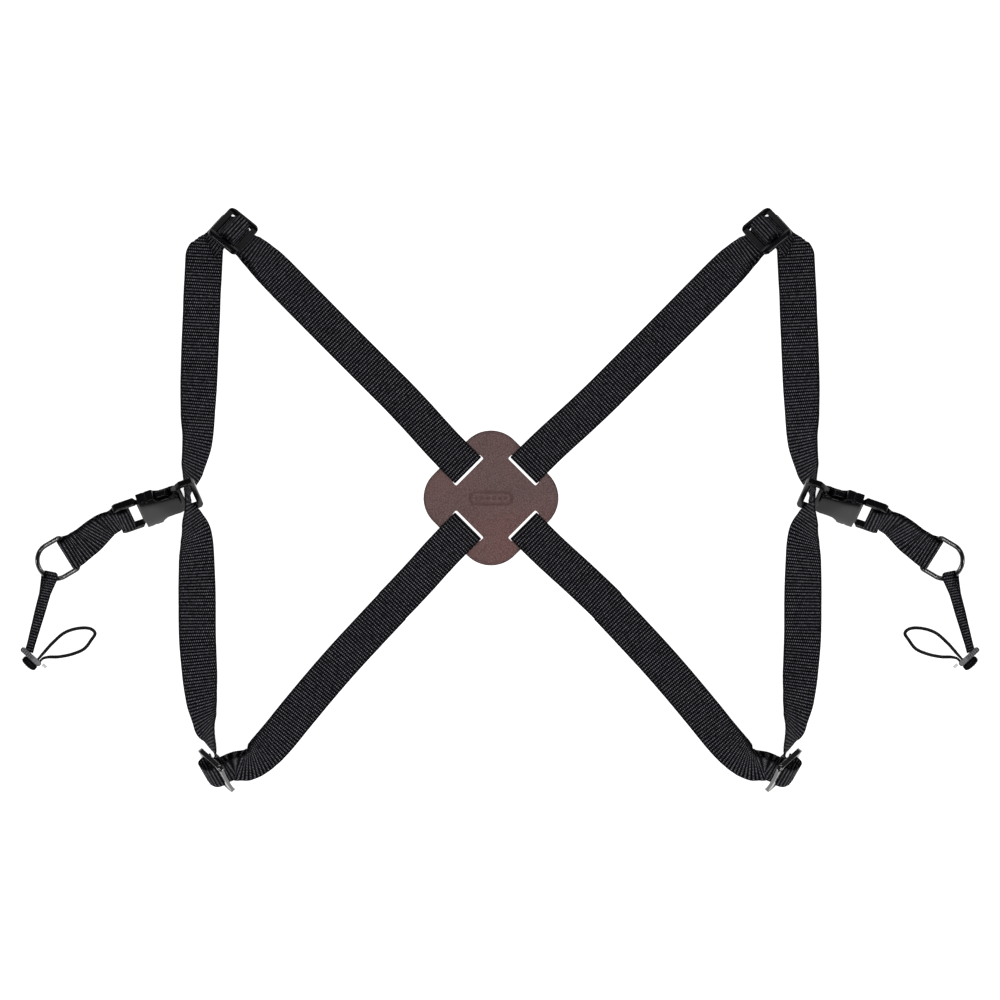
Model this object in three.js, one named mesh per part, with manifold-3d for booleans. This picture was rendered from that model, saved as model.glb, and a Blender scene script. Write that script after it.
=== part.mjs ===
// Four-strap binocular harness, laid flat: a leather back plate holds two loops of webbing. Each loop
// runs from the plate through an upper and a lower strap adjuster, and carries a side-release buckle,
// a short webbing tab, a D-ring and a tether that ends in a cord loop for the binocular's lug.
// Millimetres, +Z up. X runs across the wearer's back and Y up it; the straps lie on z = 0.
import * as THREE from "three";
import { mergeVertices } from "three/addons/utils/BufferGeometryUtils.js";
import Module from "manifold-3d";

const wasm = await Module();
wasm.setup();

// ---- driving dimensions -------------------------------------------------------------------------
const TAPE_WIDTH = 25;
const TAPE_THICK = 1.3;
const GAP = 0.3;
const LAYER_PITCH = TAPE_THICK + GAP;
const LAYER_HALF = LAYER_PITCH / 2;
const DOUBLE_MID = (2 * TAPE_THICK + GAP) / 2;
const RIBBON_STRIPS = 2;
const TWIST_SPREAD = 2.8;

const FOLD_X = 72; // the straps fold along a line parallel to Y at this distance from the middle
const FOLD_GAP = 0.3;

const PLATE = { lobeRadius: 22, lobeOffset: 23, thick: 2.8, bottom: 1.6, offset: -6 };
const PLATE_SLOT = { out: 26, wide: 5, long: 27.5, corner: 2, offset: -2.8 };
const ADJUSTER = { wide: 35, endBar: 4.2, slot: 6.2, centreBar: 3.4, thick: 2.4, slotLong: 27.5 };
const ADJUSTER_CORNER = 4;
const ADJUSTER_LONG = 2 * (ADJUSTER.endBar + ADJUSTER.slot) + ADJUSTER.centreBar;

const BUCKLE = { wide: 33, thick: 9.4, mouth: 33, cavityThick: 5.8 };
const BUCKLE_RING = { thick: 4.6, back: -7, windowHalf: 3.2, windowLong: 29 };
const PLUG = { webBar: 44.6, webBarDeep: 3.2, back: 50.2, thick: 3.6, insideHalf: 13.6, wide: 32.4 };
const PRONG = { hinge: 26.6, hingeOut: 9.6, tip: 11.6 };

const RING = { wire: 1.65, inside: 26, straight: 11, roundDeep: 11.4, corner: 2 };
const TETHER = { width: 8, thick: 0.8, layer: 0.55, eye: 3.7 };
const KEEPER = { long: 17, deep: 4.4, thick: 3.4, corner: 1.6 };
const KEEPER_HOLE = { at: -5.6, long: 4.2, high: 2.3 };
const CORD_RADIUS = 0.8;
const SLEEVE_SIZE = { radius: 1.2, long: 3.4 };
const BEAD_SIZE = { deep: 4.6, long: 12.8, high: 5.2 };
const TAB = { layer: 1.1, ringEye: 3, buckleEye: 4.2, ringWay: 6, bend: 13 };
const MIDDLE_Y = 1.03; // the plate's centre above the middle of the whole harness

// ---- colours ------------------------------------------------------------------------------------
const finish = (color, roughness, metalness = 0) =>
  new THREE.MeshStandardMaterial({ color, roughness, metalness });
const WEBBING = finish(0x17171a, 0.85);
const LEATHER = finish(0x5c3a38, 0.6);
const BUCKLE_PLASTIC = finish(0x1d1d20, 0.45);
const ADJUSTER_PLASTIC = finish(0x141416, 0.25);
const RING_PAINT = finish(0x0d0d0f, 0.2, 0.4);
const KEEPER_PLASTIC = finish(0x8f8f94, 0.35);
const CORD = finish(0x1b1b1d, 0.8);
const SLEEVE = finish(0xe4e4e2, 0.4);

// ---- vectors and frames -------------------------------------------------------------------------
const vec = (x, y, z = 0) => new THREE.Vector3(x, y, z);

/** A point given in a frame's own coordinates: along, across and up from its origin. */
const inFrame = (frame, along, across, up) =>
  frame.origin.clone()
    .addScaledVector(frame.along, along)
    .addScaledVector(frame.across, across)
    .addScaledVector(frame.up, up);

/** Frame with one exact axis (along) and a second one squared up against it. */
function frameOf(origin, along, across) {
  const first = along.clone().normalize();
  const second = across.clone().addScaledVector(first, -across.dot(first)).normalize();
  return { origin, along: first, across: second, up: first.clone().cross(second) };
}

/** Places a mesh whose geometry is in a frame's own coordinates. */
function place(mesh, frame) {
  const basis = new THREE.Matrix4().makeBasis(frame.along, frame.across, frame.up);
  mesh.quaternion.setFromRotationMatrix(basis);
  mesh.position.copy(frame.origin);
  return mesh;
}

function named(name, geometry, material) {
  const mesh = new THREE.Mesh(geometry, material);
  mesh.name = name;
  return mesh;
}

// ---- joining and cutting ------------------------------------------------------------------------
function solid(geometry) {
  const bare = geometry.index ? geometry.toNonIndexed() : geometry.clone();
  bare.deleteAttribute("normal");
  bare.deleteAttribute("uv");
  const merged = mergeVertices(bare, 1e-4);
  const vertProperties = merged.attributes.position.array;
  const triVerts = new Uint32Array(merged.index.array);
  return new wasm.Manifold(new wasm.Mesh({ numProp: 3, vertProperties, triVerts }));
}

function geometryOf(manifold) {
  const mesh = manifold.getMesh();
  const geometry = new THREE.BufferGeometry();
  geometry.setAttribute("position", new THREE.BufferAttribute(mesh.vertProperties, 3));
  geometry.setIndex(new THREE.BufferAttribute(mesh.triVerts, 1));
  geometry.computeVertexNormals();
  return geometry;
}

/** Box from its lowest to its highest corner. */
function boxBetween(low, high) {
  const size = high.clone().sub(low);
  const middle = high.clone().add(low).multiplyScalar(0.5);
  return new THREE.BoxGeometry(size.x, size.y, size.z).translate(middle.x, middle.y, middle.z);
}

const FAR = 1000;
/** Only the part of a geometry with x between two limits. */
const betweenX = (geometry, low, high) =>
  geometryOf(solid(geometry).intersect(solid(boxBetween(vec(low, -FAR, -FAR), vec(high, FAR, FAR)))));

/** Only the part of a geometry on the inner side of a vertical plane through a point. */
function cutAway(geometry, point, outward) {
  const block = new THREE.BoxGeometry(FAR, FAR, FAR).translate(FAR / 2, 0, 0);
  block.rotateZ(Math.atan2(outward.y, outward.x));
  block.translate(point.x, point.y, 0);
  return geometryOf(solid(geometry).subtract(solid(block)));
}

// ---- webbing ------------------------------------------------------------------------------------
/** Frames along a smooth line through stations, each with a centre point and a direction across. */
function framesAlong(stations, step) {
  const centre = new THREE.CatmullRomCurve3(stations.map((s) => s.at), false, "centripetal");
  const across = new THREE.CatmullRomCurve3(stations.map((s) => s.across), false, "catmullrom", 0.3);
  const spans = stations.length - 1;
  const marks = [0];
  for (let i = 0; i < spans; i++) {
    const pieces = Math.max(2, Math.ceil(stations[i].at.distanceTo(stations[i + 1].at) / step));
    for (let k = 1; k <= pieces; k++) {
      marks.push((i + k / pieces) / spans);
    }
  }
  return marks.map((t) => frameOf(centre.getPoint(t), centre.getTangent(t), across.getPoint(t)));
}

/**
 * Webbing of even width and thickness through stations: a box is cut in short lengths, and the corners
 * of each length are carried to their place.
 */
function ribbon(stations, width = TAPE_WIDTH, thick = TAPE_THICK, step = 6) {
  const frames = framesAlong(stations, step);
  const lengths = frames.length - 1;
  const geometry = new THREE.BoxGeometry(1, width, thick, lengths, RIBBON_STRIPS, 1);
  const position = geometry.attributes.position;
  for (let i = 0; i < position.count; i++) {
    const frame = frames[Math.round((position.getX(i) + 0.5) * lengths)];
    const p = inFrame(frame, 0, position.getY(i), position.getZ(i));
    position.setXYZ(i, p.x, p.y, p.z);
  }
  geometry.computeVertexNormals();
  return geometry;
}

/** Stations of one of two stacked layers that share a middle line. They spread where they twist. */
const layerOf = (stations, side) =>
  framesAlong(stations, 9).map((frame) => ({
    at: inFrame(frame, 0, 0, side * LAYER_HALF * (1 + TWIST_SPREAD * Math.abs(frame.across.z))),
    across: frame.across,
  }));

/** Direction across a strap that heads along (x, y), its left edge raised by a tilt in degrees. */
function leftOf(x, y, tilt = 0) {
  const flat = vec(-y, x).normalize();
  const angle = THREE.MathUtils.degToRad(tilt);
  return flat.multiplyScalar(Math.cos(angle)).add(vec(0, 0, Math.sin(angle)));
}

// ---- the left side's frames ---------------------------------------------------------------------
// Frames of the hardware: along is the way the webbing or the plug runs, across is along the bars.
const UPPER_ADJUSTER = frameOf(vec(-177.2, 177.4, 13.8), vec(-0.78, 0.626, 0), vec(-0.4, -0.54, 0.737));
const LOWER_ADJUSTER = frameOf(
  vec(-188, -180.6, 19.8),
  vec(-0.667, 0.554, -0.5),
  vec(0.2165, -0.4976, -0.84),
);
const BUCKLE_TILT = THREE.MathUtils.degToRad(60);
const BUCKLE_FRAME = frameOf(
  vec(-206.8, 2, 17),
  vec(-0.944, -0.327, 0),
  vec(-0.327 * Math.cos(BUCKLE_TILT), 0.944 * Math.cos(BUCKLE_TILT), Math.sin(BUCKLE_TILT)),
);
const WEB_BAR = inFrame(BUCKLE_FRAME, PLUG.webBar, 0, 0);
const RING_BAR = vec(-286.4, -36.3, 11);
const RING_FRAME = frameOf(RING_BAR, vec(-0.86, -0.51, 0.04), vec(-0.386, 0.706, 0.594));

// ---- back plate ---------------------------------------------------------------------------------
function roundedBar(shape, x, y, wide, high, radius) {
  const [left, right, low, top] = [x - wide / 2, x + wide / 2, y - high / 2, y + high / 2];
  shape.moveTo(left + radius, low);
  shape.lineTo(right - radius, low);
  shape.absarc(right - radius, low + radius, radius, -Math.PI / 2, 0);
  shape.lineTo(right, top - radius);
  shape.absarc(right - radius, top - radius, radius, 0, Math.PI / 2);
  shape.lineTo(left + radius, top);
  shape.absarc(left + radius, top - radius, radius, Math.PI / 2, Math.PI);
  shape.lineTo(left, low + radius);
  shape.absarc(left + radius, low + radius, radius, Math.PI, 1.5 * Math.PI);
  return shape;
}

function backPlate() {
  const outline = new THREE.Shape();
  for (let lobe = 0; lobe < 4; lobe++) {
    const angle = (lobe * Math.PI) / 2;
    const [x, y] = [Math.cos(angle) * PLATE.lobeOffset, Math.sin(angle) * PLATE.lobeOffset];
    outline.absarc(x, y, PLATE.lobeRadius, angle - Math.PI / 4, angle + Math.PI / 4);
  }
  const settings = { depth: PLATE.thick, bevelEnabled: false, curveSegments: 10 };
  let plate = solid(new THREE.ExtrudeGeometry(outline, settings));
  for (let corner = 0; corner < 4; corner++) {
    const { out, wide, long, corner: radius } = PLATE_SLOT;
    const slot = roundedBar(new THREE.Shape(), out, 0, wide, long, radius);
    const cutter = new THREE.ExtrudeGeometry(slot, { depth: 10, bevelEnabled: false, curveSegments: 4 });
    cutter.translate(0, 0, -3);
    cutter.rotateZ(Math.PI / 4 + (corner * Math.PI) / 2);
    cutter.translate(PLATE_SLOT.offset - PLATE.offset, 0, 0);
    plate = plate.subtract(solid(cutter));
  }
  return geometryOf(plate).translate(PLATE.offset, 0, PLATE.bottom);
}

/**
 * Loop through one slot of the plate: in over the plate's edge, down the slot, back underneath. The slots
 * lie to one side by an offset, and the strap eases over to its own line further out.
 */
function plateLoop(dirX, dirY, offset) {
  const outward = vec(dirX, dirY).normalize();
  const across = leftOf(dirX, dirY);
  const top = PLATE.bottom + PLATE.thick;
  const over = top + GAP + TAPE_THICK / 2 + 0.1;
  const middle = (top + PLATE.bottom) / 2;
  const run = [
    [112, LAYER_PITCH + TAPE_THICK / 2],
    [97, LAYER_PITCH + TAPE_THICK / 2],
    [74, LAYER_PITCH + TAPE_THICK / 2],
    [62, LAYER_PITCH + TAPE_THICK / 2],
    [52, LAYER_PITCH + TAPE_THICK / 2 + 0.3],
    [41, over],
    [31, over],
    [28.6, over],
    [27, over - 0.7],
    [26.6, middle],
    [26.8, TAPE_THICK / 2 + 0.8],
    [28.4, TAPE_THICK / 2 + 0.08],
    [30.6, TAPE_THICK / 2 + 0.04],
    [34, TAPE_THICK / 2],
    [50, TAPE_THICK / 2],
    [62, TAPE_THICK / 2],
    [74, TAPE_THICK / 2],
    [97, TAPE_THICK / 2],
    [112, TAPE_THICK / 2],
  ];
  const stations = run.map(([distance, height]) => {
    const eased = offset * (1 - THREE.MathUtils.smoothstep(distance, 40, 96));
    return { at: outward.clone().multiplyScalar(distance).add(vec(eased, 0, height)), across };
  });
  return betweenX(ribbon(stations, TAPE_WIDTH, TAPE_THICK, 20), -FOLD_X + FOLD_GAP / 2, 0);
}

// ---- straps of the left wing --------------------------------------------------------------------
/** Station of a strap that lies on the floor, or is lifted off it: its tilt raises the middle. */
function station(x, y, heading, tilt, lift = 0, thick = TAPE_THICK) {
  const angle = THREE.MathUtils.degToRad(Math.abs(tilt));
  const rest = (TAPE_WIDTH / 2) * Math.sin(angle) + (thick / 2) * Math.cos(angle);
  return { at: vec(x, y, rest + lift), across: leftOf(...heading, tilt) };
}

/** Stations at an adjuster, from places in its frame: along its rails and up from its plane. */
const adjusterStations = (frame, places) =>
  places.map(([along, up]) => ({ at: inFrame(frame, along, 0, up), across: frame.across }));

const double = (x, y, heading, tilt, lift) => station(x, y, heading, tilt, lift, 2 * DOUBLE_MID);
const UPPER_MIDDLE = [
  double(-58, 58, [-1, 1], 0),
  double(-80, 80, [-1, 1], 0),
  double(-103, 103, [-1, 1], 0),
  double(-126, 126.2, [-1, 1], 2, 0.3),
  double(-141, 141.4, [-1, 1], 9, 0.6),
  double(-153, 153.6, [-1, 1], 22, 1),
  ...adjusterStations(UPPER_ADJUSTER, [[-17.5, -3.1]]),
];
const LOWER_MIDDLE = [
  double(-58, -58, [-1, -1], 0),
  double(-72, -72.6, [-1, -1], 0),
  double(-90, -91.8, [-0.7, -0.71], 0),
  double(-104, -107, [-0.69, -0.72], 0, 0.1),
  double(-118, -123, [-0.68, -0.73], -2, 0.2),
  double(-136, -144.6, [-0.62, -0.78], -5, 0.4),
  double(-148.5, -160, [-0.66, -0.75], -12, 1.2),
  double(-158, -170, [-0.82, -0.57], -24, 3.5),
  double(-167, -176.4, [-0.95, -0.3], -40, 7),
  ...adjusterStations(LOWER_ADJUSTER, [[-6.6, -10]]),
];
// Places round an adjuster's centre bar. The sewn end wraps the bar, and the running strap crosses it.
const ROUND_BAR = [[2.7, -0.7], [2.7, 0.7], [2.35, 1.85], [1.2, 2.25],
  [-1.2, 2.25], [-2.35, 1.85], [-2.7, 0.7], [-2.7, -0.6]];
const UPPER_SEWN_END = [[-12, -3.85], [-5, -3.6], [0.8, -2.7], [2.3, -1.9], ...ROUND_BAR];
const LOWER_SEWN_END = [[-1.9, -5.8], [0.4, -2.9], [2.2, -2], ...ROUND_BAR];
const OVER_CENTRE_BAR = [[-12, -2.25], [-8.4, -2.2], [-6.9, -1.6], [-5.5, 0.2], [-4.4, 2.2],
  [-3.2, 3.5], [-1.4, 4], [1.4, 4], [3.2, 3.5],
  [4.4, 2.2], [5.5, 0.2], [6.9, -1.6], [8.4, -2.2], [12.6, -3.4]];
const LOWER_LEG = [[-7.2, -5], [-5.3, -0.4], [-4.4, 3.2]];
const LOWER_HUMP = [[-2, 6.2], [1.2, 7.3]];
const LOWER_TURN = [[1.9, 7.4], [6.4, 6.4], [7.2, 3], [5.8, -0.4], [5.7, -4.4]];

const wingPart = (geometry) => betweenX(geometry, -FAR, -FOLD_X - FOLD_GAP / 2);

const WING_STEP = 4.5;
const wingStrap = (middle, side, frame, places) => {
  const stations = [...layerOf(middle, side), ...adjusterStations(frame, places)];
  return wingPart(ribbon(stations, TAPE_WIDTH, TAPE_THICK, WING_STEP));
};
const upperStrap = () => wingStrap(UPPER_MIDDLE, 1, UPPER_ADJUSTER, OVER_CENTRE_BAR);
const upperSewnEnd = () => wingStrap(UPPER_MIDDLE, -1, UPPER_ADJUSTER, UPPER_SEWN_END);
const lowerStrap = () => wingStrap(LOWER_MIDDLE, 1, LOWER_ADJUSTER, [...LOWER_LEG, ...LOWER_HUMP]);
const lowerSewnEnd = () => wingStrap(LOWER_MIDDLE, -1, LOWER_ADJUSTER, LOWER_SEWN_END);

const WEBBING_IN_RING = 0.6; // the webbing sits this far from the window's middle, towards the buckle

/** Side strap: out of the lower adjuster, up through the buckle's ring, on to the upper corner. */
function sideStrap() {
  const ring = BUCKLE_FRAME;
  const through = vec(-0.08, 0.95, -0.3);
  const standing = vec(-0.12, 0.29, 0.95);
  const nearRing = (distance) => ({
    at: inFrame(ring, WEBBING_IN_RING, 0, 0).addScaledVector(through, distance),
    across: standing,
  });
  return ribbon([
    ...adjusterStations(LOWER_ADJUSTER, LOWER_TURN),
    station(-193.4, -158, [0.05, 1], -66, 4),
    station(-196.3, -147, [-0.1, 1], -47, 1.4),
    station(-198.6, -134, [-0.06, 1], -31, 0.8),
    station(-200.2, -115.4, [-0.03, 1], -16, 0.4),
    station(-201.7, -92.7, [0, 1], -4, 0.3),
    station(-201.9, -68, [0, 1], 5, 0.3),
    station(-202, -42, [0, 1], 22, 1),
    station(-202, -27, [0.1, 1], 38, 3),
    station(-204.4, -14.5, [0.1, 1], 58, 5.6),
    nearRing(-4.5),
    nearRing(0),
    nearRing(5),
    station(-204.6, 20, [0.1, 0.95], 56, 0.8),
    station(-201.4, 38, [0.1, 1], 40, 0.3),
    station(-201.2, 56, [0, 1], 27, 0.3),
    station(-200.6, 80, [0, 1], 12, 0.2),
    station(-199.8, 104, [0, 1], 4, 0.2),
    station(-199, 122, [0, 1], 1, 0.1),
    station(-197.8, 141, [0.05, 1], 0),
    station(-196.8, 157, [0.05, 1], 0),
    station(-196.1, 171, [0.05, 1], 0),
    station(-195.6, 186, [0.05, 1], 0),
  ]);
}

/** The side strap's top end stops along the slanting line where the webbing folds over. */
const FOLD_POINT = vec(-197.8, 175);
const FOLD_OUTWARD = vec(-0.45, 0.89);
const foldedSideStrap = () => cutAway(sideStrap(), FOLD_POINT, FOLD_OUTWARD);

// ---- strap adjuster -----------------------------------------------------------------------------
function adjuster() {
  const outline = roundedBar(new THREE.Shape(), 0, 0, ADJUSTER_LONG, ADJUSTER.wide, ADJUSTER_CORNER);
  for (const side of [-1, 1]) {
    const x = (side * (ADJUSTER.centreBar + ADJUSTER.slot)) / 2;
    outline.holes.push(roundedBar(new THREE.Path(), x, 0, ADJUSTER.slot, ADJUSTER.slotLong, 1));
  }
  const settings = { depth: ADJUSTER.thick, bevelEnabled: false, curveSegments: 4 };
  return new THREE.ExtrudeGeometry(outline, settings).translate(0, 0, -ADJUSTER.thick / 2);
}

// ---- side-release buckle ------------------------------------------------------------------------
/** Slab of a given thickness about z = 0 with a symmetrical outline, listed for y above 0. */
function slab(half, thick, hole) {
  const shape = new THREE.Shape();
  half.forEach(([x, y], i) => (i ? shape.lineTo(x, y) : shape.moveTo(x, y)));
  [...half].reverse().forEach(([x, y]) => shape.lineTo(x, -y));
  if (hole) shape.holes.push(roundedBar(new THREE.Path(), ...hole));
  const settings = { depth: thick, bevelEnabled: false, curveSegments: 3 };
  return solid(new THREE.ExtrudeGeometry(shape, settings).translate(0, 0, -thick / 2));
}

function buckleSocket() {
  const half = BUCKLE.wide / 2;
  const { mouth, thick, cavityThick } = BUCKLE;
  const { back, windowHalf, windowLong } = BUCKLE_RING;
  const body = [[6, 10.5], [9.5, 11.6], [13, 11.2], [18, 11.6], [21, 14], [22, half], [mouth, half]];
  const ringHalf = half + 0.5;
  const ring = [[back, half - 2.5], [back + 1.6, ringHalf], [3, ringHalf], [6, half - 1.5], [9.5, 11.4]];
  const window = [0, 0, 2 * windowHalf, windowLong, 1];
  const shell = slab(body, thick).add(slab(ring, BUCKLE_RING.thick, window));
  const cavityHalf = vec(0, PLUG.insideHalf + 0.5, cavityThick / 2);
  const deep = vec(9.8, 0, 0).sub(cavityHalf);
  const beyondMouth = vec(mouth + 2, 0, 0).add(cavityHalf);
  return geometryOf(shell.subtract(solid(boxBetween(deep, beyondMouth))));
}

function bucklePlug() {
  const { webBar, webBarDeep, back, thick, insideHalf, wide } = PLUG;
  const half = wide / 2;
  const mouth = BUCKLE.mouth;
  const barBack = webBar + webBarDeep / 2;
  const inside = insideHalf - 0.2;
  const shoulder = [[27.6, insideHalf], [mouth + 0.6, insideHalf], [mouth + 2.4, half]];
  const frame = [...shoulder, [back - 2, half], [back, half - 1.2], [back, inside], [barBack, inside]];
  const [front, end] = [mouth + 1.2, webBar - webBarDeep / 2];
  const opening = [(front + end) / 2, 0, end - front, 2 * inside, 0.6];
  const tongue = boxBetween(vec(11.8, -3.4, -1.6), vec(28, 3.4, 1.6));
  return geometryOf(slab(frame, thick, opening).add(solid(tongue)));
}

/** One springy side prong of the plug: a thin arm with a thick thumb pad at its end. */
function prong(side) {
  const { hinge, hingeOut, tip } = PRONG;
  const outer = PLUG.insideHalf;
  const shape = new THREE.Shape();
  shape.moveTo(hinge + 0.6, side * (hingeOut - 1.2));
  shape.lineTo(hinge + 0.6, side * (hingeOut + 1.4));
  shape.lineTo(22, side * (hingeOut + 1.8));
  shape.lineTo(20.4, side * outer);
  shape.lineTo(tip + 2.5, side * outer);
  shape.lineTo(tip, side * (outer - 2.6));
  shape.lineTo(tip, side * (hingeOut - 0.6));
  shape.lineTo(20, side * (hingeOut - 1));
  shape.closePath();
  return new THREE.ExtrudeGeometry(shape, { depth: 4.4, bevelEnabled: false }).translate(0, 0, -2.2);
}

// ---- tab, D-ring and tether ---------------------------------------------------------------------
/** Stations at angles (in degrees) round an eye of a given radius, centred at a distance along. */
const eye = (frame, distance, radius, angles) =>
  angles.map((degrees) => {
    const angle = THREE.MathUtils.degToRad(degrees);
    const along = distance + radius * Math.cos(angle);
    return { at: inFrame(frame, along, 0, radius * Math.sin(angle)), across: frame.across };
  });

/** Two layers of a doubled piece, from a shared middle line: out below it, and back above it. */
function twoLayers(stations, layer) {
  const frames = framesAlong(stations, 4);
  const offset = (up) => frames.map((frame) => ({ at: inFrame(frame, 0, 0, up), across: frame.across }));
  return [offset(-layer), offset(layer).reverse()];
}

/** Doubled webbing with an eye round the plug's bar at one end and round the D-ring at the other. */
function tab() {
  const { layer, ringEye, buckleEye, bend } = TAB;
  const start = inFrame(BUCKLE_FRAME, PLUG.back + 1, 0, 0);
  const end = inFrame(RING_FRAME, -TAB.ringWay, 0, 0);
  const leaving = start.clone().addScaledVector(BUCKLE_FRAME.along, bend);
  const arriving = end.clone().addScaledVector(RING_FRAME.along, -bend);
  const line = new THREE.CubicBezierCurve3(start, leaving, arriving, end);
  const middle = [0, 0.25, 0.5, 0.75, 1].map((t) => ({
    at: line.getPoint(t),
    across: BUCKLE_FRAME.across.clone().lerp(RING_FRAME.across, t),
  }));
  const [below, above] = twoLayers(middle, layer);
  const half = Math.ceil(below.length / 2);
  return ribbon([
    ...below.slice(half),
    ...eye(RING_FRAME, 0, ringEye, [-130, -90, -45, 0, 45, 90, 130]),
    ...above,
    ...eye(BUCKLE_FRAME, PLUG.webBar, buckleEye, [60, 90, 135, 180, 225, 270, 300]),
    ...below.slice(0, half),
  ], TAPE_WIDTH, TAPE_THICK, 4);
}

/** Curve of the D-ring's wire, in its frame: a straight bar, two short sides and a half ellipse. */
class RingCurve extends THREE.Curve {
  getPoint(t, target = new THREE.Vector3()) {
    const half = RING.inside / 2 + RING.wire;
    const { straight, corner, roundDeep } = RING;
    const path = new THREE.Path();
    path.moveTo(0, 0);
    path.lineTo(0, -half + corner);
    path.absarc(corner, -half + corner, corner, Math.PI, 1.5 * Math.PI);
    path.lineTo(straight, -half);
    path.absellipse(straight, 0, roundDeep, half, -Math.PI / 2, Math.PI / 2);
    path.lineTo(corner, half);
    path.absarc(corner, half - corner, corner, Math.PI / 2, Math.PI);
    path.lineTo(0, 0);
    const p = path.getPointAt(t);
    return target.set(p.x, p.y, 0);
  }
}

/** Closed loop of round wire along a flat closed curve: a torus whose rings are carried along it. */
function wireLoop(curve, radius, steps, sides) {
  const geometry = new THREE.TorusGeometry(1, 0.5, sides, steps);
  const { position, uv } = geometry.attributes;
  for (let i = 0; i < position.count; i++) {
    const t = uv.getX(i) % 1;
    const angle = 2 * Math.PI * uv.getY(i);
    const before = curve.getPoint((t - 0.002 + 1) % 1);
    const tangent = curve.getPoint((t + 0.002) % 1).sub(before).normalize();
    const outward = vec(tangent.y, -tangent.x);
    const p = curve.getPoint(t).addScaledVector(outward, radius * Math.cos(angle));
    position.setXYZ(i, p.x, p.y, radius * Math.sin(angle));
  }
  geometry.computeVertexNormals();
  return geometry;
}

// The tether hangs on the round of the D-ring and ends in a fold that holds the cord.
const HANG_ANGLE = THREE.MathUtils.degToRad(-38);
const RING_RADIUS = RING.inside / 2 + RING.wire;
const HANG_POINT = inFrame(
  RING_FRAME,
  RING.straight + RING.roundDeep * Math.cos(HANG_ANGLE),
  RING_RADIUS * Math.sin(HANG_ANGLE),
  0,
);
const HANG_WIRE = RING_FRAME.along.clone().multiplyScalar(-RING.roundDeep * Math.sin(HANG_ANGLE))
  .addScaledVector(RING_FRAME.across, RING_RADIUS * Math.cos(HANG_ANGLE))
  .normalize();
const TETHER_END = vec(-314, -102.6, 1.6);

function tetherTape() {
  const line = TETHER_END.clone().sub(HANG_POINT);
  const top = frameOf(HANG_POINT, line, HANG_WIRE);
  const low = frameOf(HANG_POINT, line, leftOf(line.x, line.y, 4).negate());
  const length = line.length();
  const flat = (frame, along) => ({ at: inFrame(frame, along, 0, 0), across: frame.across });
  const middle = [flat(top, length * 0.22), flat(top, length * 0.3), flat(low, length * 0.75), flat(low, length)];
  const [below, above] = twoLayers(middle, TETHER.layer);
  return ribbon([
    ...below.reverse(),
    ...eye(top, 0, TETHER.eye, [-50, -90, -135, 180, 135, 90, 50]),
    ...above.reverse(),
  ], TETHER.width, TETHER.thick, 3);
}

// Keeper: a flat oval bar with a hole at one end. Its frame runs along the cord; across is its length.
const KEEPER_FRAME = frameOf(vec(-312.5, -105.7, 4.7), vec(0.669, 0.743, 0), vec(-0.743, 0.669, 0));
const HOLE_AT = KEEPER_HOLE.at;

function keeper() {
  const outline = roundedBar(new THREE.Shape(), 0, 0, KEEPER.deep, KEEPER.long, KEEPER.corner);
  const settings = { depth: KEEPER.thick, bevelEnabled: false, curveSegments: 4 };
  const bar = solid(new THREE.ExtrudeGeometry(outline, settings).translate(0, 0, -KEEPER.thick / 2));
  const hole = new THREE.BoxGeometry(KEEPER.deep * 2, KEEPER_HOLE.long, KEEPER_HOLE.high);
  return geometryOf(bar.subtract(solid(hole.translate(0, HOLE_AT, 0))));
}

// The cord leaves the fold, runs through the keeper, makes the loop and comes back beside itself.
const CORD_ROUTE = [
  inFrame(KEEPER_FRAME, -2.6, HOLE_AT + 0.95, 0),
  inFrame(KEEPER_FRAME, 2, HOLE_AT + 0.95, 0),
  inFrame(KEEPER_FRAME, 8.5, HOLE_AT + 1, 0),
  vec(-298.6, -97, 3),
  vec(-289.9, -89.6, 1.6),
  vec(-279.5, -86.7, 1.1),
  vec(-272.6, -87.4, 1.1),
  vec(-270, -90.2, 1.1),
  vec(-272.6, -94.7, 1.1),
  vec(-277.2, -100.5, 1.1),
  vec(-285.3, -104.1, 1.1),
  vec(-294.5, -105.9, 1.8),
  vec(-300.5, -106, 2.8),
  inFrame(KEEPER_FRAME, 4.6, HOLE_AT - 1.2, -0.2),
  inFrame(KEEPER_FRAME, 2, HOLE_AT - 0.95, 0),
  inFrame(KEEPER_FRAME, -2.6, HOLE_AT - 0.95, 0),
];

function cordLoop() {
  const section = new THREE.Shape().absarc(0, 0, CORD_RADIUS, 0, 2 * Math.PI);
  const extrudePath = new THREE.CatmullRomCurve3(CORD_ROUTE, false, "centripetal");
  const settings = { steps: 42, curveSegments: 4, bevelEnabled: false, extrudePath };
  return new THREE.ExtrudeGeometry(section, settings);
}

/** Rounded bead: the tape's folded end, which holds both ends of the cord. */
function bead() {
  const ball = new THREE.SphereGeometry(1, 12, 8);
  ball.scale(BEAD_SIZE.deep / 2, BEAD_SIZE.long / 2, BEAD_SIZE.high / 2);
  return geometryOf(solid(ball));
}
const BEAD_FRAME = frameOf(
  inFrame(KEEPER_FRAME, -4.9, -2.2, -1.9),
  KEEPER_FRAME.along,
  KEEPER_FRAME.across,
);

function sleeve() {
  const { radius, long } = SLEEVE_SIZE;
  return new THREE.CylinderGeometry(radius, radius, long, 10);
}
const SLEEVE_FRAME = frameOf(
  inFrame(KEEPER_FRAME, 1.2, -10.8, -2.6),
  KEEPER_FRAME.along,
  KEEPER_FRAME.across,
);

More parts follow.
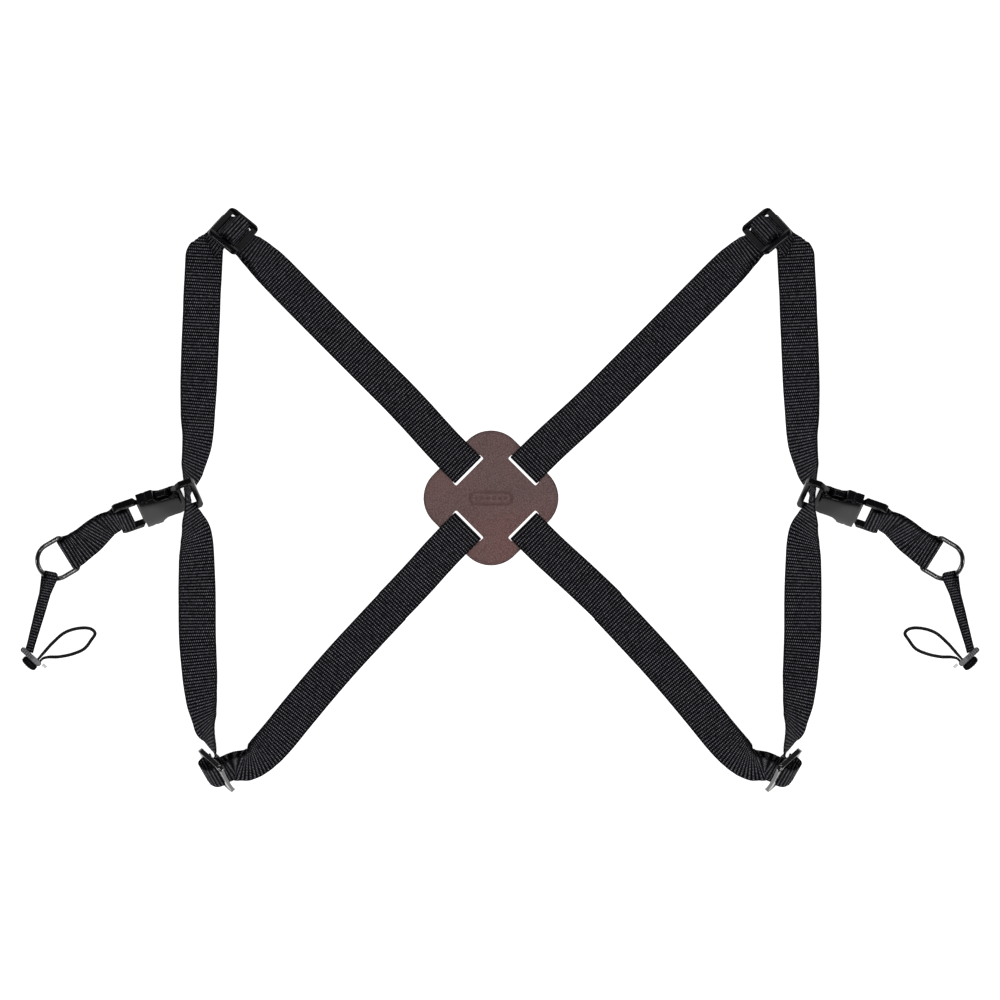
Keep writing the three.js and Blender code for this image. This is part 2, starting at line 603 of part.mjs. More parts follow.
// ---- assembly -----------------------------------------------------------------------------------
/** Everything left of the plate. The right side is the same, mirrored, with the slots nearer or further. */
function side(prefix, slotOffset) {
  const group = new THREE.Group();
  const add = (name, geometry, material, frame) => {
    const mesh = named(prefix + "_" + name, geometry, material);
    group.add(frame ? place(mesh, frame) : mesh);
  };
  add("upper_loop", plateLoop(-1, 1, slotOffset), WEBBING);
  add("lower_loop", plateLoop(-1, -1, slotOffset), WEBBING);
  add("upper_strap", upperStrap(), WEBBING);
  add("upper_sewn_end", upperSewnEnd(), WEBBING);
  add("side_strap", foldedSideStrap(), WEBBING);
  add("lower_strap", lowerStrap(), WEBBING);
  add("lower_sewn_end", lowerSewnEnd(), WEBBING);
  add("upper_adjuster", adjuster(), ADJUSTER_PLASTIC, UPPER_ADJUSTER);
  add("lower_adjuster", adjuster(), ADJUSTER_PLASTIC, LOWER_ADJUSTER);
  add("buckle_socket", buckleSocket(), BUCKLE_PLASTIC, BUCKLE_FRAME);
  add("buckle_plug", bucklePlug(), BUCKLE_PLASTIC, BUCKLE_FRAME);
  add("upper_prong", prong(1), BUCKLE_PLASTIC, BUCKLE_FRAME);
  add("lower_prong", prong(-1), BUCKLE_PLASTIC, BUCKLE_FRAME);
  add("tab", tab(), WEBBING);
  add("d_ring", wireLoop(new RingCurve(), RING.wire, 56, 7), RING_PAINT, RING_FRAME);
  add("tether_tape", tetherTape(), WEBBING);
  add("bead", bead(), WEBBING, BEAD_FRAME);
  add("keeper", keeper(), KEEPER_PLASTIC, KEEPER_FRAME);
  add("cord_loop", cordLoop(), CORD);
  add("sleeve", sleeve(), SLEEVE, SLEEVE_FRAME);
  return group;
}

const harness = new THREE.Group();
harness.add(named("back_plate", backPlate(), LEATHER));
harness.add(side("left", PLATE_SLOT.offset));
const rightSide = side("right", -PLATE_SLOT.offset);
rightSide.scale.x = -1;
harness.add(rightSide);
harness.position.y = MIDDLE_Y;

export default harness;
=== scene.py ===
"""Looks of the four-strap binocular harness, laid flat on a pale floor.

Lengths below are in millimetres in the harness's own frame and become metres as meshes are made.
"""
import math

import bpy
import numpy as np
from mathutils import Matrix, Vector


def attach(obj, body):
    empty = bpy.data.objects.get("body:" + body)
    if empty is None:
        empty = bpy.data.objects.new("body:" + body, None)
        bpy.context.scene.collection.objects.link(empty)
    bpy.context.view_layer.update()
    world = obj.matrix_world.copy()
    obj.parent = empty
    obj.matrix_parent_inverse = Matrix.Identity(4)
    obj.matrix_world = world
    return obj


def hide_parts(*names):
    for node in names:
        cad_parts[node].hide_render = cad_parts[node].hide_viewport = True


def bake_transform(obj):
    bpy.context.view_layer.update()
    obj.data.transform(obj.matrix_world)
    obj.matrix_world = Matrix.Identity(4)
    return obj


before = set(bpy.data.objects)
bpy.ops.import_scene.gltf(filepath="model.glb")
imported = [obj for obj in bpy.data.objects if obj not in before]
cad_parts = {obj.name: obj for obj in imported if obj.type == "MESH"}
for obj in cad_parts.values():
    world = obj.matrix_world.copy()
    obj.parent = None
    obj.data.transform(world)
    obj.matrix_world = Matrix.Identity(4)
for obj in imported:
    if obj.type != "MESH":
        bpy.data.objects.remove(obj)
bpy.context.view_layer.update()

MM = 0.001
MIDDLE_Y = 1.03
SIDES = (("left", 1), ("right", -1))


# ---- vectors, frames and smooth lines -------------------------------------------------------------
def vec(x, y, z=0.0):
    return np.array([x, y, z], float)


def unit(v):
    return v / np.linalg.norm(v)


class Frame:
    """Origin and three axes: along, across (squared up against along) and up."""

    def __init__(self, origin, along, across):
        self.origin = origin
        self.along = unit(along)
        self.across = unit(across - self.along * (across @ self.along))
        self.up = np.cross(self.along, self.across)

    def at(self, along, across, up):
        """The point that far along, across and up from the origin."""
        return self.origin + self.along * along + self.across * across + self.up * up

    def local(self, points):
        """Points in the shared frame as along, across and up from this origin."""
        return (points - self.origin) @ np.stack([self.along, self.across, self.up]).T

    def placed(self, points):
        """The way back from local."""
        basis = np.stack([self.along, self.across, self.up])
        return np.asarray(points, float) @ basis + self.origin


def spline(points, tension=None):
    """Catmull-Rom line through points: centripetal, or uniform with a tension."""
    p = np.array(points, float)
    p = np.vstack([2 * p[0] - p[1], p, 2 * p[-1] - p[-2]])

    def at(t):
        x = np.clip(np.atleast_1d(t), 0, 1) * (len(p) - 3)
        i = np.minimum(x.astype(int), len(p) - 4)
        w = (x - i)[:, None]
        a, b, c, d = p[i], p[i + 1], p[i + 2], p[i + 3]
        if tension is None:
            k0, k1, k2 = (np.linalg.norm(v, axis=1)[:, None] ** 0.5 for v in (b - a, c - b, d - c))
            m0 = k1 * ((b - a) / k0 - (c - a) / (k0 + k1) + (c - b) / k1)
            m1 = k1 * ((c - b) / k1 - (d - b) / (k1 + k2) + (d - c) / k2)
        else:
            m0, m1 = tension * (c - a), tension * (d - b)
        return b + m0 * w + (3 * (c - b) - 2 * m0 - m1) * w**2 + (2 * (b - c) + m0 + m1) * w**3

    return at


def frames_along(stations, step):
    """Frames along the smooth line through stations, each a centre point and a direction across."""
    at = spline([s[0] for s in stations])
    across = spline([s[1] for s in stations], 0.3)
    spans = len(stations) - 1
    marks = [0.0]
    for i in range(spans):
        gap = np.linalg.norm(stations[i][0] - stations[i + 1][0])
        pieces = max(2, math.ceil(gap / step))
        marks += [(i + (k + 1) / pieces) / spans for k in range(pieces)]
    marks = np.array(marks)
    tangent = at(np.minimum(marks + 1e-4, 1)) - at(np.maximum(marks - 1e-4, 0))
    return [Frame(*three) for three in zip(at(marks), tangent, across(marks))]


def left_of(x, y, tilt=0.0):
    """Direction across a tape that heads along x, y: to its left, and up by a tilt in degrees."""
    angle = math.radians(tilt)
    return unit(vec(-y, x)) * math.cos(angle) + vec(0, 0, math.sin(angle))


# ---- the camera, first ----------------------------------------------------------------------------
SENSOR_WIDTH = 36
FIELD_WIDTH = 0.667
CAMERA_HEIGHT = 3.7
camera_data = bpy.data.cameras.new("camera")
camera_data.sensor_width = SENSOR_WIDTH
camera_data.lens = SENSOR_WIDTH * CAMERA_HEIGHT / FIELD_WIDTH
camera_data.clip_end = 50
camera = bpy.data.objects.new("camera", camera_data)
camera.location = (0, -0.0003, CAMERA_HEIGHT)
bpy.context.scene.collection.objects.link(camera)
bpy.context.scene.camera = camera

# ---- the left side's frames and stations ----------------------------------------------------------
TAPE_WIDTH = 25
TAPE_THICK = 1.3
GAP = 0.3
LAYER_PITCH = TAPE_THICK + GAP
DOUBLE_THICK = 2 * TAPE_THICK + GAP
TWIST_SPREAD = 2.8
SLOT_OFFSET = -2.8
PLATE_OFFSET = -6

UPPER_ADJUSTER = Frame(vec(-177.2, 177.4, 13.8), vec(-0.78, 0.626), vec(-0.4, -0.54, 0.737))
LOWER_ADJUSTER = Frame(vec(-188, -180.6, 19.8), vec(-0.667, 0.554, -0.5), vec(0.2165, -0.4976, -0.84))
BUCKLE_FRAME = Frame(vec(-206.8, 2, 17), vec(-0.944, -0.327), vec(-0.1635, 0.472, 0.866))
WEB_BAR_AT = 44.6
PLUG_BACK = 50.2
RING_BAR = vec(-286.4, -36.3, 11)
RING_FRAME = Frame(RING_BAR, vec(-0.86, -0.51, 0.04), vec(-0.386, 0.706, 0.594))
RING_WIRE = 1.65
RING_RADIUS = 13 + RING_WIRE
RING_STRAIGHT = 11
RING_DEEP = 11.4
HANG_ANGLE = math.radians(-38)
HANG_POINT = RING_FRAME.at(
    RING_STRAIGHT + RING_DEEP * math.cos(HANG_ANGLE), RING_RADIUS * math.sin(HANG_ANGLE), 0
)
HANG_WIRE = unit(
    RING_FRAME.across * RING_RADIUS * math.cos(HANG_ANGLE)
    - RING_FRAME.along * RING_DEEP * math.sin(HANG_ANGLE)
)
TETHER_END = vec(-314, -102.6, 1.6)
KEEPER_FRAME = Frame(vec(-312.5, -105.7, 4.7), vec(0.669, 0.743), vec(-0.743, 0.669))
HOLE_AT = -5.6
CORD_RADIUS, PINCHED_CORD_RADIUS = 1.1, 0.8
CORD_POINTS = 121
CORD_ROUTE = [
    KEEPER_FRAME.at(-2.6, HOLE_AT + 0.95, 0),
    KEEPER_FRAME.at(2, HOLE_AT + 0.95, 0),
    KEEPER_FRAME.at(8.5, HOLE_AT + 1, 0),
    vec(-298.6, -97, 3),
    vec(-289.9, -89.6, 1.6),
    vec(-279.5, -86.7, 1.1),
    vec(-272.6, -87.4, 1.1),
    vec(-270, -90.2, 1.1),
    vec(-272.6, -94.7, 1.1),
    vec(-277.2, -100.5, 1.1),
    vec(-285.3, -104.1, 1.1),
    vec(-294.5, -105.9, 1.8),
    vec(-300.5, -106, 2.8),
    KEEPER_FRAME.at(4.6, HOLE_AT - 1.2, -0.2),
    KEEPER_FRAME.at(2, HOLE_AT - 0.95, 0),
    KEEPER_FRAME.at(-2.6, HOLE_AT - 0.95, 0),
]


# ---- meshes ---------------------------------------------------------------------------------------
def vertex_points(mesh):
    points = np.empty(len(mesh.vertices) * 3)
    mesh.vertices.foreach_get("co", points)
    return points.reshape(-1, 3) / MM


def set_weave(mesh, places):
    """Gives each vertex its place along and across the weave, in metres."""
    layer = mesh.uv_layers.new(name="weave")
    index = np.empty(len(mesh.loops), int)
    mesh.loops.foreach_get("vertex_index", index)
    layer.data.foreach_set("uv", np.asarray(places, np.float32)[index].ravel())


def add_mesh(name, points, faces, weave=None, mirror=1):
    """Mesh object from points in millimetres; mirror is -1 for the right side."""
    p = np.array(points, float)
    p[:, 1] += MIDDLE_Y
    p[:, 0] *= mirror
    mesh = bpy.data.meshes.new(name)
    if mirror < 0:
        faces = [tuple(reversed(f)) for f in faces]
    mesh.from_pydata((p * MM).tolist(), [], faces)
    if weave is not None:
        set_weave(mesh, weave)
    mesh.polygons.foreach_set("use_smooth", [True] * len(mesh.polygons))
    obj = bpy.data.objects.new(name, mesh)
    bpy.context.scene.collection.objects.link(obj)
    return obj


def grid_faces(rows, ring, closed=False):
    """Faces of a tube with that many rows of a closed ring, capped at both ends or closed on itself."""
    faces = []
    for i in range(rows if closed else rows - 1):
        a, b = i * ring, (i + 1) % rows * ring
        for j in range(ring):
            k = (j + 1) % ring
            faces.append((a + j, a + k, b + k, b + j))
    if not closed:
        faces.append(tuple(reversed(range(ring))))
        faces.append(tuple(range((rows - 1) * ring, rows * ring)))
    return faces


RIB_PITCH = 2.1
RIB_HIGH = 0.2
ROW_STEP = 0.525
EDGE_ROUNDING = 0.9
INNER_PLACES = 9


def places_across(width):
    """Places across a tape, close together at its two edges."""
    inner = np.linspace(-(width / 2 - EDGE_ROUNDING), width / 2 - EDGE_ROUNDING, INNER_PLACES)
    bend = np.array([1, 0.95, 0.75, 0.4]) * EDGE_ROUNDING - EDGE_ROUNDING
    return np.concatenate([-(width / 2 + bend), inner, (width / 2 + bend)[::-1]])


def woven(name, rows, width, thick, mirror, rib=RIB_HIGH, pitch=RIB_PITCH):
    """Ribbed tape. rows holds, for each row, its middle points and normals at places_across."""
    t = places_across(width)
    edge = np.clip((np.abs(t) - (width / 2 - EDGE_ROUNDING)) / EDGE_ROUNDING, 0, 1)
    half = thick / 2 * np.sqrt(np.maximum(1 - edge**2, 0))
    middle = np.array([r[0] for r in rows])
    normal = np.array([r[1] for r in rows])
    centre = middle[:, len(t) // 2]
    s = np.concatenate([[0], np.cumsum(np.linalg.norm(np.diff(centre, axis=0), axis=1))])
    wave = rib * 0.5 * np.cos(2 * math.pi * s / pitch)[:, None] * (1 - edge)[None, :]
    high = half[None, :] + wave - rib * 0.5 * (1 - edge)[None, :]
    top = middle + normal * high[..., None]
    low = middle - normal * high[..., None]
    ring = np.concatenate([top, low[:, -2:0:-1]], axis=1)
    places = np.concatenate([t, t[-2:0:-1]])
    weave = np.stack(np.broadcast_arrays(s[:, None], places[None, :]), axis=-1) * MM
    faces = grid_faces(len(rows), ring.shape[1])
    return add_mesh(name, ring.reshape(-1, 3), faces, weave.reshape(-1, 2), mirror)


def flat_rows(frames, width, squeeze=None):
    """Rows of a tape that is straight across at every frame, and as wide as squeeze says there."""
    t = places_across(width)
    rows = []
    for i, f in enumerate(frames):
        k = 1 if squeeze is None else squeeze[i]
        rows.append((f.origin + np.outer(t * k, f.across), np.tile(f.up, (len(t), 1))))
    return rows


# ---- webbing --------------------------------------------------------------------------------------
def station(x, y, heading, tilt, lift=0.0, thick=TAPE_THICK):
    """Centre and direction across of a tilted tape whose lower edge lies lift above the floor."""
    angle = math.radians(abs(tilt))
    rest = TAPE_WIDTH / 2 * math.sin(angle) + thick / 2 * math.cos(angle)
    return (vec(x, y, rest + lift), left_of(*heading, tilt))


def double(x, y, heading, tilt, lift=0.0):
    """The same for two layers, at the middle of both."""
    return station(x, y, heading, tilt, lift, DOUBLE_THICK)


def adjuster_stations(adjuster, places):
    """Stations at places along and above an adjuster's frame."""
    return [(adjuster.at(along, 0, up), adjuster.across) for along, up in places]


LAYER_STEP = 9


def layer_of(stations, layer):
    """Stations of the upper (1) or lower (-1) of two layers that spread where the pair twists."""
    made = []
    for f in frames_along(stations, LAYER_STEP):
        offset = layer * LAYER_PITCH / 2 * (1 + TWIST_SPREAD * abs(f.across[2]))
        made.append((f.at(0, 0, offset), f.across))
    return made


UPPER_MIDDLE = [
    double(-58, 58, (-1, 1), 0),
    double(-80, 80, (-1, 1), 0),
    double(-103, 103, (-1, 1), 0),
    double(-126, 126.2, (-1, 1), 2, 0.3),
    double(-141, 141.4, (-1, 1), 9, 0.6),
    double(-153, 153.6, (-1, 1), 22, 1),
] + adjuster_stations(UPPER_ADJUSTER, [(-17.5, -3.1)])
LOWER_MIDDLE = [
    double(-58, -58, (-1, -1), 0),
    double(-72, -72.6, (-1, -1), 0),
    double(-90, -91.8, (-0.7, -0.71), 0),
    double(-104, -107, (-0.69, -0.72), 0, 0.1),
    double(-118, -123, (-0.68, -0.73), -2, 0.2),
    double(-136, -144.6, (-0.62, -0.78), -5, 0.4),
    double(-148.5, -160, (-0.66, -0.75), -12, 1.2),
    double(-158, -170, (-0.82, -0.57), -24, 3.5),
    double(-167, -176.4, (-0.95, -0.3), -40, 7),
] + adjuster_stations(LOWER_ADJUSTER, [(-6.6, -10)])
ROUND_BAR = [(2.7, -0.7), (2.7, 0.7), (2.35, 1.85), (1.2, 2.25)]
ROUND_BAR += [(-1.2, 2.25), (-2.35, 1.85), (-2.7, 0.7), (-2.7, -0.6)]
UPPER_SEWN_END = [(-12, -3.85), (-5, -3.6), (0.8, -2.7), (2.3, -1.9)] + ROUND_BAR
LOWER_SEWN_END = [(-1.9, -5.8), (0.4, -2.9), (2.2, -2)] + ROUND_BAR
OVER_CENTRE_BAR = [(-12, -2.25), (-8.4, -2.2), (-6.9, -1.6), (-5.5, 0.2), (-4.4, 2.2), (-3.2, 3.5)]
OVER_CENTRE_BAR += [(-1.4, 4), (1.4, 4), (3.2, 3.5), (4.4, 2.2), (5.5, 0.2), (6.9, -1.6), (8.4, -2.2)]
UNDER_OUTER_BAR = [(10.4, -3.1), (11.8, -4.4)]
LOWER_RISE = [(-7.2, -5), (-5.3, -0.4), (-4.4, 3.2), (-2, 6.2), (1.2, 7.3)]
LOWER_TURN = [(1.9, 7.4), (6.4, 6.4), (7.2, 3), (5.8, -0.4), (5.7, -4.4)]
PLATE_BOTTOM = 1.6
PLATE_THICK = 2.8
LOOP_END = -72


def plate_loop(x, y, offset):
    """Stations over the plate's edge, down its slot and back underneath; the slots lie to one side."""
    outward = unit(vec(x, y))
    over = PLATE_BOTTOM + PLATE_THICK + GAP + TAPE_THICK / 2 + 0.1
    top, low = LAYER_PITCH + TAPE_THICK / 2, TAPE_THICK / 2
    run = [(112, top), (97, top), (74, top), (62, top), (52, top + 0.3)]
    run += [(41, over), (31, over), (28.6, over), (27, over - 0.7)]
    run += [(26.6, PLATE_BOTTOM + PLATE_THICK / 2), (26.8, low + 0.8), (28.4, low + 0.08)]
    run += [(30.6, low + 0.04)] + [(distance, low) for distance in (34, 50, 62, 74, 97, 112)]

    def eased(distance):
        k = np.clip((distance - 40) / 56, 0, 1)
        return offset * (1 - k * k * (3 - 2 * k))

    return [(outward * d + vec(eased(d), 0, height), left_of(x, y)) for d, height in run]


def side_run():
    """Stations up the side: off the lower adjuster, on edge through the buckle's ring, to the fold."""
    through, standing = vec(-0.08, 0.95, -0.3), vec(-0.12, 0.29, 0.95)
    ring = [(BUCKLE_FRAME.at(0.6, 0, 0) + through * d, standing) for d in (-4.5, 0, 5)]
    return (
        adjuster_stations(LOWER_ADJUSTER, LOWER_TURN)
        + [
            station(-193.4, -158, (0.05, 1), -66, 4),
            station(-196.3, -147, (-0.1, 1), -47, 1.4),
            station(-198.6, -134, (-0.06, 1), -31, 0.8),
            station(-200.2, -115.4, (-0.03, 1), -16, 0.4),
            station(-201.7, -92.7, (0, 1), -4, 0.3),
            station(-201.9, -68, (0, 1), 5, 0.3),
            station(-202, -42, (0, 1), 22, 1),
            station(-202, -27, (0.1, 1), 38, 3),
            station(-204.4, -14.5, (0.1, 1), 58, 5.6),
        ]
        + ring
        + [
            station(-204.6, 20, (0.1, 0.95), 56, 0.8),
            station(-201.4, 38, (0.1, 1), 40, 0.3),
            station(-201.2, 56, (0, 1), 27, 0.3),
            station(-200.6, 80, (0, 1), 12, 0.3),
            station(-199.8, 104, (0, 1), 4, 0.8),
            station(-199, 122, (0, 1), 1, 1.4),
        ]
    )


def reverse(frames):
    """The same tape walked the other way: along and up turn round, across stays."""
    return [Frame(f.origin, -f.along, f.across) for f in reversed(frames)]


FOLD_LINE = unit(vec(-0.894, -0.447))
FOLD_OUT = unit(vec(-0.447, 0.894))
LEAVING = unit(vec(-0.057, -1))
FOLD_AT = vec(-194.8, 175.9)
FOLD_RADIUS = 1.0
FLAT_Z = TAPE_THICK / 2 + 0.4


def fold_rows(length_in, length_out):
    """Rows of the tape as it comes in flat, folds over a slanting line and leaves on top of itself."""
    heading = unit(2 * (LEAVING @ FOLD_LINE) * FOLD_LINE - LEAVING)
    across = left_of(heading[0], heading[1])
    t = places_across(TAPE_WIDTH)
    rows = []
    for s in np.arange(-length_in, length_out + ROW_STEP / 2, ROW_STEP):
        flat = FOLD_AT + heading * s + np.outer(t, across)
        beyond = (flat - FOLD_AT) @ FOLD_OUT
        base = flat - np.outer(beyond, FOLD_OUT)
        turn = np.clip(beyond / FOLD_RADIUS, 0, math.pi)
        out = np.where(beyond < 0, beyond, FOLD_RADIUS * np.sin(turn))
        out = np.where(beyond > math.pi * FOLD_RADIUS, -(beyond - math.pi * FOLD_RADIUS), out)
        high = FOLD_RADIUS * (1 - np.cos(turn))
        middle = base + np.outer(out, FOLD_OUT)
        # the corner of the fold that reaches furthest out draws in
        from_corner = middle - FOLD_AT - FOLD_LINE * 14
        inset = 3.4 * np.clip(1 - np.abs(from_corner[:, 1] - 1) / 9, 0, 1) ** 2
        middle[:, 0] += inset * np.clip(1 - from_corner[:, 0] / 16, 0, 1)
        middle[:, 2] = FLAT_Z + high
        normal = np.outer(-np.sin(turn), FOLD_OUT)
        normal[:, 2] = np.cos(turn)
        rows.append((middle, normal))
    return rows


TUCK_REACH, FOLD_REACH = 22, 20
TUCK_SAMPLES = 400
FOLD_LENGTH_IN, FOLD_LENGTH_OUT = 12.6, 19


def tucked_rows(tail, fold):
    """Rows of the tape doubled back out of sight: from below the adjuster's outer bar to the fold."""
    u = np.linspace(0, 1, TUCK_SAMPLES)[:, None, None]
    leaving = tail[-1][0] - tail[-2][0]
    arriving = fold[1][0] - fold[0][0]
    leaving *= TUCK_REACH / np.linalg.norm(leaving, axis=1)[:, None]
    arriving *= FOLD_REACH / np.linalg.norm(arriving, axis=1)[:, None]
    way = (2 * u**3 - 3 * u**2 + 1) * tail[-1][0] + (u**3 - 2 * u**2 + u) * leaving
    way = way + (3 * u**2 - 2 * u**3) * fold[0][0] + (u**3 - u**2) * arriving
    way[:, :, 2] = np.maximum(way[:, :, 2], FLAT_Z)
    normal = np.cross(np.gradient(way, axis=0), np.gradient(way, axis=1))
    normal /= np.linalg.norm(normal, axis=2)[..., None]
    centre = way[:, way.shape[1] // 2]
    gone = np.concatenate([[0], np.cumsum(np.linalg.norm(np.diff(centre, axis=0), axis=1))])
    picks = np.searchsorted(gone, np.arange(0, gone[-1] - ROW_STEP / 2, ROW_STEP))
    return [(way[i], normal[i]) for i in picks]


def harness_rows(offset):
    """Rows of one side's tape in two lengths: sewn end to upper corner, and upper corner to sewn end."""

    def wing(middle, layer, adjuster, places):
        stations = layer_of(middle, layer) + adjuster_stations(adjuster, places)
        return [f for f in frames_along(stations, ROW_STEP) if f.origin[0] <= LOOP_END]

    def loop(x, y):
        return [f for f in frames_along(plate_loop(x, y, offset), ROW_STEP) if f.origin[0] > LOOP_END]

    sewn = wing(UPPER_MIDDLE, -1, UPPER_ADJUSTER, UPPER_SEWN_END)
    run = wing(UPPER_MIDDLE, 1, UPPER_ADJUSTER, OVER_CENTRE_BAR + UNDER_OUTER_BAR)
    first = flat_rows(reverse(sewn) + reverse(loop(-1, 1)) + run, TAPE_WIDTH)
    side = frames_along(side_run(), ROW_STEP)
    fold = fold_rows(FOLD_LENGTH_IN, FOLD_LENGTH_OUT)
    end = fold[-1][0][len(fold[-1][0]) // 2]
    top = side[-1]
    link = [
        (end - LEAVING, vec(-1, 0.057)),
        (end, vec(-1, 0.057)),
        (vec(-197.9, 147, 2.9), vec(-1, 0.055)),
        (vec(-198.6, 135, 2.5), vec(-1, 0.03)),
        (top.origin, top.across),
        (side[-8].origin, side[-8].across),
    ]
    low, high = top.origin[1] + 0.3, end[1] - 0.3
    between = [f for f in frames_along(link, ROW_STEP) if low < f.origin[1] < high]
    lower = wing(LOWER_MIDDLE, 1, LOWER_ADJUSTER, LOWER_RISE)
    lower_sewn = wing(LOWER_MIDDLE, -1, LOWER_ADJUSTER, LOWER_SEWN_END)
    second = flat_rows(between + reverse(side) + reverse(lower) + loop(-1, -1) + lower_sewn, TAPE_WIDTH)
    return first, tucked_rows(first, fold) + fold + second


COARSE_STEP = 4


def two_layers(stations, layer):
    """Stations of a tape's way out below a middle line, and of its way back above it."""
    frames = frames_along(stations, COARSE_STEP)
    below = [(f.at(0, 0, -layer), f.across) for f in frames]
    above = [(f.at(0, 0, layer), f.across) for f in frames]
    return below, above[::-1]


def eye(f, distance, radius, angles):
    """Stations round a bar that lies across a frame."""
    turned = np.radians(angles)
    return [(f.at(distance + radius * math.cos(a), 0, radius * math.sin(a)), f.across) for a in turned]


TAB_LAYER, TAB_BEND = 1.1, 13


def tab_middle():
    """Stations of the tab's middle line, bending from the plug's bar to the D-ring's."""
    start, end = BUCKLE_FRAME.at(PLUG_BACK + 1, 0, 0), RING_FRAME.at(-6, 0, 0)
    leaving, arriving = start + BUCKLE_FRAME.along * TAB_BEND, end - RING_FRAME.along * TAB_BEND
    made = []
    for t in (0, 0.25, 0.5, 0.75, 1):
        u = 1 - t
        place = u**3 * start + 3 * u * u * t * leaving + 3 * u * t * t * arriving + t**3 * end
        made.append((place, BUCKLE_FRAME.across * u + RING_FRAME.across * t))
    return made


def tab_frames():
    """One strap round the D-ring and the plug's bar, whose two ends meet in the lower layer."""
    below, above = two_layers(tab_middle(), TAB_LAYER)
    half = math.ceil(len(below) / 2)
    round_ring = eye(RING_FRAME, 0, 3, [-130, -90, -45, 0, 45, 90, 130])
    round_bar = eye(BUCKLE_FRAME, WEB_BAR_AT, 4.2, [60, 90, 135, 180, 225, 270, 300])
    return frames_along(below[half - 1:] + round_ring + above + round_bar + below[:half], ROW_STEP)


TETHER_WIDTH, TETHER_THICK, TETHER_LAYER = 8, 0.8, 0.55
TETHER_RIB_PITCH, TETHER_RIB_HIGH = 1.9, 0.16
TETHER_STEP = 0.35


def tether_frames():
    """The narrow tape from the cord lock up round the D-ring's wire and back."""
    line = TETHER_END - HANG_POINT
    length = np.linalg.norm(line)
    top = Frame(HANG_POINT, line, HANG_WIRE)
    low = Frame(HANG_POINT, line, -left_of(line[0], line[1], 4))
    places = [(top, 0.22), (top, 0.3), (low, 0.75), (low, 1)]
    below, above = two_layers([(f.at(length * k, 0, 0), f.across) for f, k in places], TETHER_LAYER)
    round_wire = eye(top, 0, 3.7, [-50, -90, -135, 180, 135, 90, 50])
    return frames_along(below[::-1] + round_wire + above[::-1], TETHER_STEP)


# ---- materials ------------------------------------------------------------------------------------
BLACK, WHITE = (0, 0, 0), (1, 1, 1)


class Material:
    """A node material, built by short calls."""

    def __init__(self, name, **sockets):
        self.material = bpy.data.materials.new(name)
        self.material.use_nodes = True
        self.nodes = self.material.node_tree.nodes
        self.links = self.material.node_tree.links
        self.shader = self.nodes["Principled BSDF"]
        for key, value in sockets.items():
            self.shader.inputs[key.replace("_", " ")].default_value = value

    def feed(self, socket, value):
        """Links another node's socket to this one, or sets this one's value."""
        if isinstance(value, bpy.types.NodeSocket):
            self.links.new(value, socket)
        else:
            socket.default_value = value

    def put(self, kind, *inputs, out=0, **options):
        """Adds a node and returns an output of it; options are its properties or named inputs."""
        node = self.nodes.new("ShaderNode" + kind)
        for key, value in options.items():
            if hasattr(node, key):
                setattr(node, key, value)
            else:
                node.inputs[key.replace("_", " ")].default_value = value
        for i, value in enumerate(inputs):
            self.feed(node.inputs[i], value)
        return node.outputs[out]

    def math(self, operation, *inputs):
        return self.put("Math", *inputs, operation=operation)

    def wave(self, value, pitch):
        """0 to 1 cosine wave of a length in metres, with a pitch in metres."""
        turned = self.math("MULTIPLY", value, 2 * math.pi / pitch)
        return self.math("MULTIPLY_ADD", self.math("COSINE", turned), 0.5, 0.5)

    def ramp(self, value, *stops):
        """Colour ramp with a stop at each position and colour."""
        node = self.nodes.new("ShaderNodeValToRGB")
        elements = node.color_ramp.elements
        while len(elements) < len(stops):
            elements.new(0.5)
        for element, (position, color) in zip(elements, stops):
            element.position = position
            element.color = (*color, 1)
        self.links.new(value, node.inputs[0])
        return node.outputs[0]

    def noise(self, vector, scale, detail, roughness=0.5):
        return self.put("TexNoise", vector, Scale=scale, Detail=detail, Roughness=roughness)

    def object_place(self):
        return self.put("TexCoord", out=3)

    def weave_place(self):
        """Place along and across the weave, in metres."""
        place = self.put("UVMap", uv_map="weave")
        split = self.nodes.new("ShaderNodeSeparateXYZ")
        self.links.new(place, split.inputs[0])
        return split.outputs[0], split.outputs[1]

    def mix(self, factor, a, b):
        """Colour a where the factor is 0 and b where it is 1."""
        node = self.nodes.new("ShaderNodeMix")
        node.data_type = "RGBA"
        for i, value in ((0, factor), (6, a), (7, b)):
            self.feed(node.inputs[i], (*value, 1) if isinstance(value, tuple) else value)
        return node.outputs[2]

    def bump(self, height, distance, strength):
        node = self.nodes.new("ShaderNodeBump")
        node.inputs["Strength"].default_value = strength
        node.inputs["Distance"].default_value = distance
        self.links.new(height, node.inputs["Height"])
        return node.outputs[0]

    def use(self, **sockets):
        """Links node outputs to the shader's sockets and returns the material."""
        for key, value in sockets.items():
            self.links.new(value, self.shader.inputs[key.replace("_", " ")])
        return self.material


